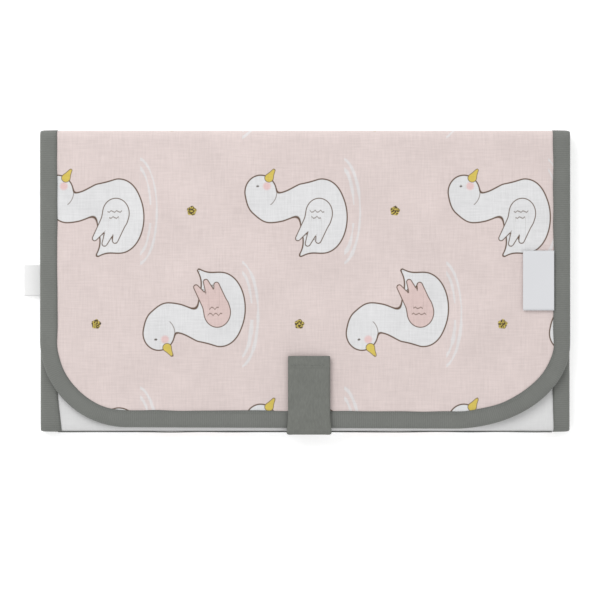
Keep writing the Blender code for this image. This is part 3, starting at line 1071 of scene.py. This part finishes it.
def make_strap():
    """The closing strap, up round the bottom fold and over the flap to its hemmed end."""
    low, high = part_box("closing_strap")
    root_low, root_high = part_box("strap_root")
    middle_x = (low[0] + high[0]) / 2
    half = (high[0] - low[0]) / 2
    wall_y = (root_low[1] + root_high[1]) / 2
    top_z = (low[2] + high[2]) / 2
    bend = 3.0 * MM
    turn = np.linspace(0, math.pi / 2, 12)
    run = [(wall_y, z) for z in np.linspace(root_low[2], top_z - bend, 20)]
    run += [(wall_y + bend * (1 - math.cos(t)), top_z - bend + bend * math.sin(t)) for t in turn[1:]]
    run += [(y, top_z) for y in np.linspace(wall_y + bend, high[1], 60)[1:]]
    points, normal, along = with_normals(even(np.array(run), 0.5 * MM), (-1, 0))
    path, up = np.insert(points, 0, middle_x, axis=1), np.insert(normal, 0, 0, axis=1)
    ease = np.exp(-((along - along[-1] * 0.27) / (5 * MM)) ** 2)
    hem = 1 / (1 + np.exp(-(along - (along[-1] - 8 * MM)) / (0.25 * MM)))
    end_round = np.clip((along[-1] - along) / (0.8 * MM), 0, 1)
    path = path + up * (hem * 0.35 * MM)[:, None]
    flare = ease * 0.9 * MM - (1 - np.sqrt(end_round * (2 - end_round))) * 0.5 * MM
    obj = band("strap_webbing", path, every(path, 1, 0, 0), up, half,
               band_section(half, 1.1 * MM, 0.12 * MM), M_STRAP, flare)
    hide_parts("closing_strap", "strap_root")
    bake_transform(obj)

    sewn = half - 2.5 * MM
    xs = np.arange(middle_x - sewn, middle_x + sewn, 2.6 * MM)
    rows = np.ones(len(xs))
    places = np.stack([xs, rows * (high[1] - 6 * MM), rows * (top_z + 0.98 * MM)], -1)
    row = stitches("strap_hem_stitching", places, every(places, 1, 0, 0), every(places, 0, 0, 1))
    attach(row, "strap")
    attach(pad_patch("hook_pad", "hook_patch", 1.1 * MM, up=-1), "strap")
    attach(pad_patch("loop_pad", "loop_patch", 1.3 * MM), "flap")


def make_labels():
    """A blank folded side label on the flap and a blank two-leaf care label."""
    low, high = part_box("side_label")
    reach = high[0] - low[0] - 0.4 * MM
    lift, radius = 0.45 * MM, 0.42 * MM
    base = low[2] + 0.2 * MM
    run = [(high[0] - t * reach, base + lift * t**2) for t in np.linspace(0, 1, 24)]
    x_end, z_end = run[-1]
    run += [(x_end - radius * math.cos(t), z_end + radius + radius * math.sin(t))
            for t in np.linspace(-math.pi / 2, math.pi / 2, 9)[1:]]
    run += [(high[0] - t * reach, base + 2 * radius + lift * t**2) for t in np.linspace(1, 0, 24)[1:]]
    points, normal, _ = with_normals(even(np.array(run), 0.5 * MM), (0, -1))
    path = np.insert(points, 1, (low[1] + high[1]) / 2, axis=1)
    half = (high[1] - low[1]) / 2
    obj = band("side_label_cloth", path, every(path, 0, 1, 0), np.insert(normal, 1, 0, axis=1), half,
               band_section(half, 0.32 * MM, 0.0), M_LABEL)
    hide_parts("side_label")
    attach(obj, "side_label")

    low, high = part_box("care_label")
    half, length = (high[1] - low[1]) / 2, high[0] - low[0]
    t = np.linspace(0, 1, 30)
    for word, drop, droop, shrink in (("upper", 0.0, 0.15 * MM, 0.0),
                                      ("lower", 0.25 * MM, 0.8 * MM, 0.8 * MM)):
        run = np.stack([high[0] - t * (length - shrink), (low[2] + high[2]) / 2 - drop - droop * t**2], -1)
        path = np.insert(run, 1, (low[1] + high[1]) / 2, axis=1)
        obj = band("care_label_" + word, path, every(path, 0, 1, 0), every(path, 0, 0, 1),
                   half - shrink / 3, band_section(half, 0.18 * MM, 0.0), M_CARE)
        if word == "upper":
            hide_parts("care_label")
        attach(obj, "care_label")


# ---- floor, light and camera


def make_stage():
    """A plain pale floor, soft light from all round and a soft key from the upper left."""
    corners = [(x * STAGE_SIZE, y * STAGE_SIZE, 0) for x, y in ((-1, -1), (1, -1), (1, 1), (-1, 1))]
    floor = new_object("floor", corners, [(0, 1, 2, 3)], smooth=False)
    floor.location.z = -0.3 * MM
    material = bpy.data.materials.new("floor_paint")
    material.use_nodes = True
    for socket, value in (("Base Color", (0.93, 0.93, 0.93, 1)), ("Roughness", 0.9),
                          ("Emission Color", (1, 1, 1, 1)), ("Emission Strength", FLOOR_GLOW)):
        material.node_tree.nodes["Principled BSDF"].inputs[socket].default_value = value
    floor.data.materials.append(material)
    world = bpy.data.worlds.new("soft_room")
    bpy.context.scene.world = world
    world.use_nodes = True
    background = world.node_tree.nodes["Background"].inputs
    background["Color"].default_value = (1, 1, 1, 1)
    background["Strength"].default_value = ROOM_LIGHT
    for name, place, energy, side in (("key", (-0.8, 1.0, 1.5), 15, 1.1),
                                      ("fill", (1.0, -0.6, 1.8), 5, 1.6)):
        lamp = bpy.data.lights.new(name, "AREA")
        lamp.energy = energy
        lamp.size = side
        obj = bpy.data.objects.new(name, lamp)
        obj.location = place
        aim = -obj.location
        obj.rotation_euler = aim.to_track_quat("-Z", "Y").to_euler()
        bpy.context.scene.collection.objects.link(obj)


def make_camera():
    data = bpy.data.cameras.new("camera")
    data.sensor_width = SENSOR
    data.lens = SENSOR * (CAMERA_HEIGHT - FLAP_HIGH) / VIEW_WIDTH
    data.clip_end = 20
    camera = bpy.data.objects.new("camera", data)
    camera.location = (VIEW_MIDDLE[0], VIEW_MIDDLE[1], CAMERA_HEIGHT)
    bpy.context.scene.collection.objects.link(camera)
    bpy.context.scene.camera = camera


make_camera()
make_stage()
make_flap()
make_back()
make_front()
make_fold_shade()
make_strap()
make_labels()
bpy.context.scene.view_settings.view_transform = "Standard"
